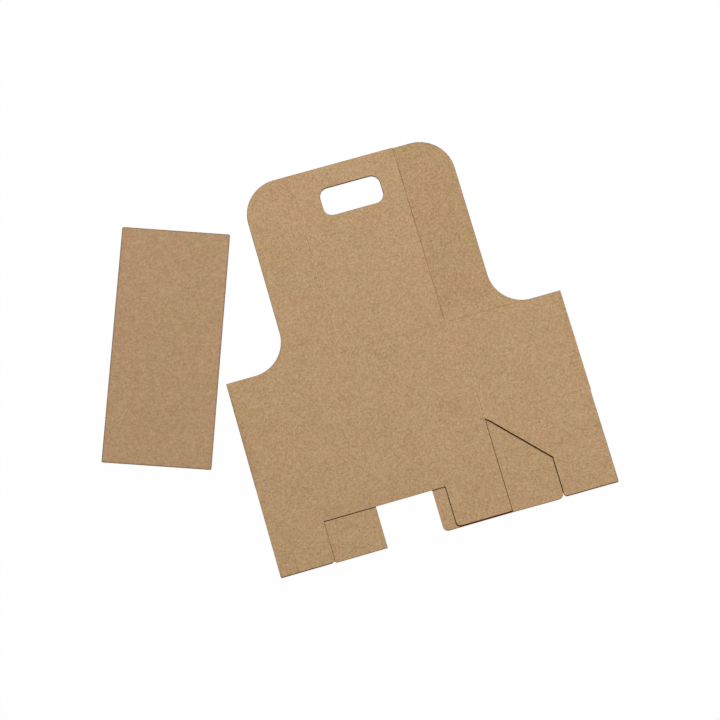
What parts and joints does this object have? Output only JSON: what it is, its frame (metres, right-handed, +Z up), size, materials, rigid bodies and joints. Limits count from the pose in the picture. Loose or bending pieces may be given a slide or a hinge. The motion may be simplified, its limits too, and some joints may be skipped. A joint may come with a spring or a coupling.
{
  "type": "folded cup carrier",
  "caption": "Kraft card cup carrier lying folded flat, with a handle with a hand hole, a lock bottom with turning flaps, and a loose floor pad beside it.",
  "frame": {"origin": "under the middle of everything that lies on the table, at the height of the table", "axes": "+X across the flat carrier towards its right end wall, +Y towards the handle, +Z up from the table"},
  "size_m": [0.4266, 0.341, 0.0019],
  "materials": {
    "kraft_card": "matt unbleached kraft card with a mottled fibre surface",
    "kraft_pad": "matt unbleached kraft card, slightly greyer, with fine streaks across its width"
  },
  "bodies": {
    "carrier": {"carrier_sheet": "kraft_card", "floor_pad": "kraft_pad"},
    "front_flap": {"front_lock_flap": "kraft_card"},
    "right_end_flap": {"end_flap": "kraft_card"}
  },
  "joints": [
    {"name": "front_flap_fold", "type": "hinge", "parent": "carrier", "child": "front_flap", "pos_m": [0.01295, -0.0855, 0.0019], "axis": [-1, 0, 0], "range_deg": [0, 170]},
    {"name": "end_flap_fold", "type": "hinge", "parent": "carrier", "child": "right_end_flap", "pos_m": [0.1652, -0.0855, 0.0019], "axis": [-1, 0, 0], "range_deg": [0, 170]}
  ]
}
